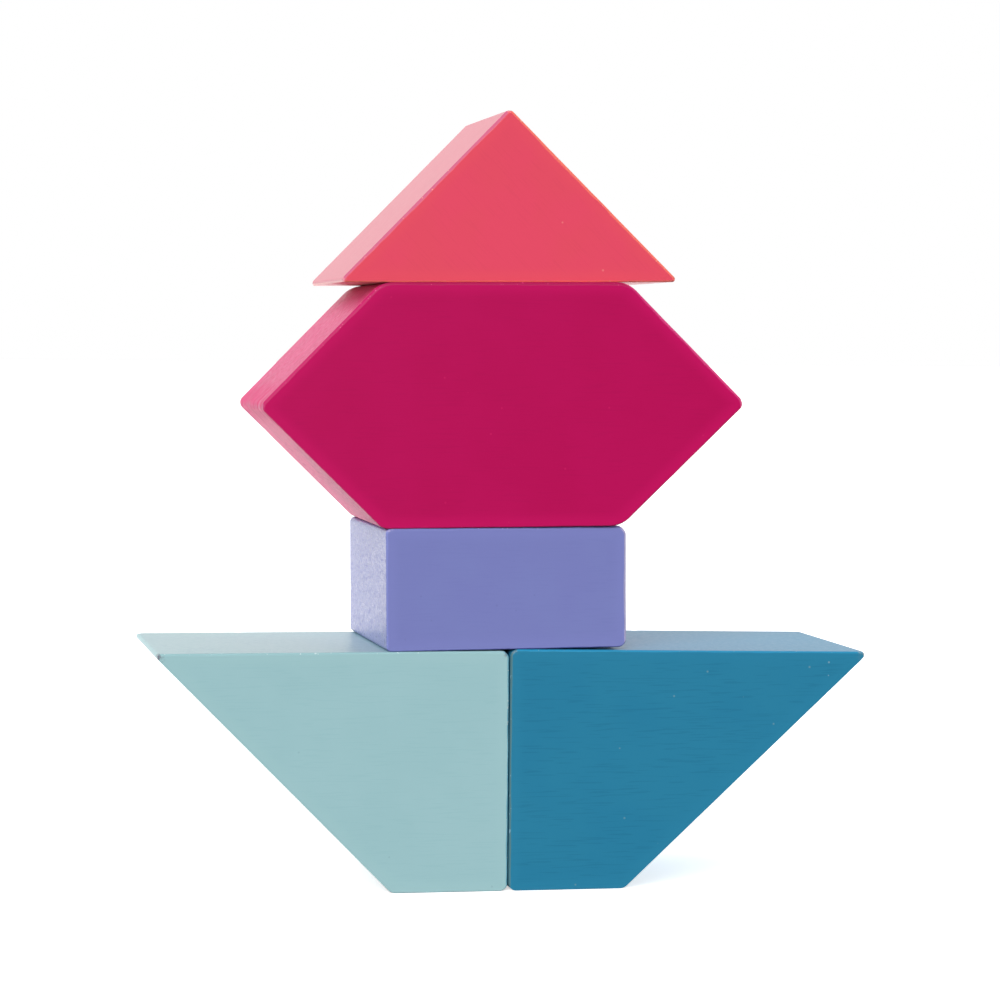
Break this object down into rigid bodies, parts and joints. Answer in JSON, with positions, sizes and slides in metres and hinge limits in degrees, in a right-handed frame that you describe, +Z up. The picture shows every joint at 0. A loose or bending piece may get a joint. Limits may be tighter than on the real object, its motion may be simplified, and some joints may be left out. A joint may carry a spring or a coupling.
{
  "type": "wooden block puzzle",
  "caption": "Painted wooden blocks of plain geometric shapes, stacked by hand: slanted base blocks side by side, then a slab, a long hexagon and a triangle.",
  "frame": {"origin": "middle of the stack's footprint, on the surface that the two base blocks stand on", "axes": "+Z up through the stack, +X to the right along the row of base blocks, +Y from the front faces to the back faces"},
  "size_m": [0.1183, 0.0416, 0.1277],
  "materials": {
    "aqua_painted_wood": "satin",
    "teal_painted_wood": "satin",
    "periwinkle_painted_wood": "satin",
    "magenta_painted_wood": "satin",
    "coral_painted_wood": "satin"
  },
  "bodies": {
    "aqua_base": {"aqua_base_block": "aqua_painted_wood"},
    "teal_base": {"teal_base_block": "teal_painted_wood"},
    "slab": {"periwinkle_slab": "periwinkle_painted_wood"},
    "hexagon": {"magenta_hexagon": "magenta_painted_wood"},
    "triangle": {"coral_triangle": "coral_painted_wood"}
  },
  "joints": [
    {"name": "teal_slide", "type": "slide", "parent": "aqua_base", "child": "teal_base", "axis": [1, 0, 0], "range_m": [0, 0.06]},
    {"name": "slab_lift", "type": "slide", "parent": "aqua_base", "child": "slab", "axis": [0, 0, 1], "range_m": [0, 0.04]},
    {"name": "hexagon_lift", "type": "slide", "parent": "slab", "child": "hexagon", "axis": [0, 0, 1], "range_m": [0, 0.04]},
    {"name": "triangle_lift", "type": "slide", "parent": "hexagon", "child": "triangle", "axis": [0, 0, 1], "range_m": [0, 0.04]}
  ]
}
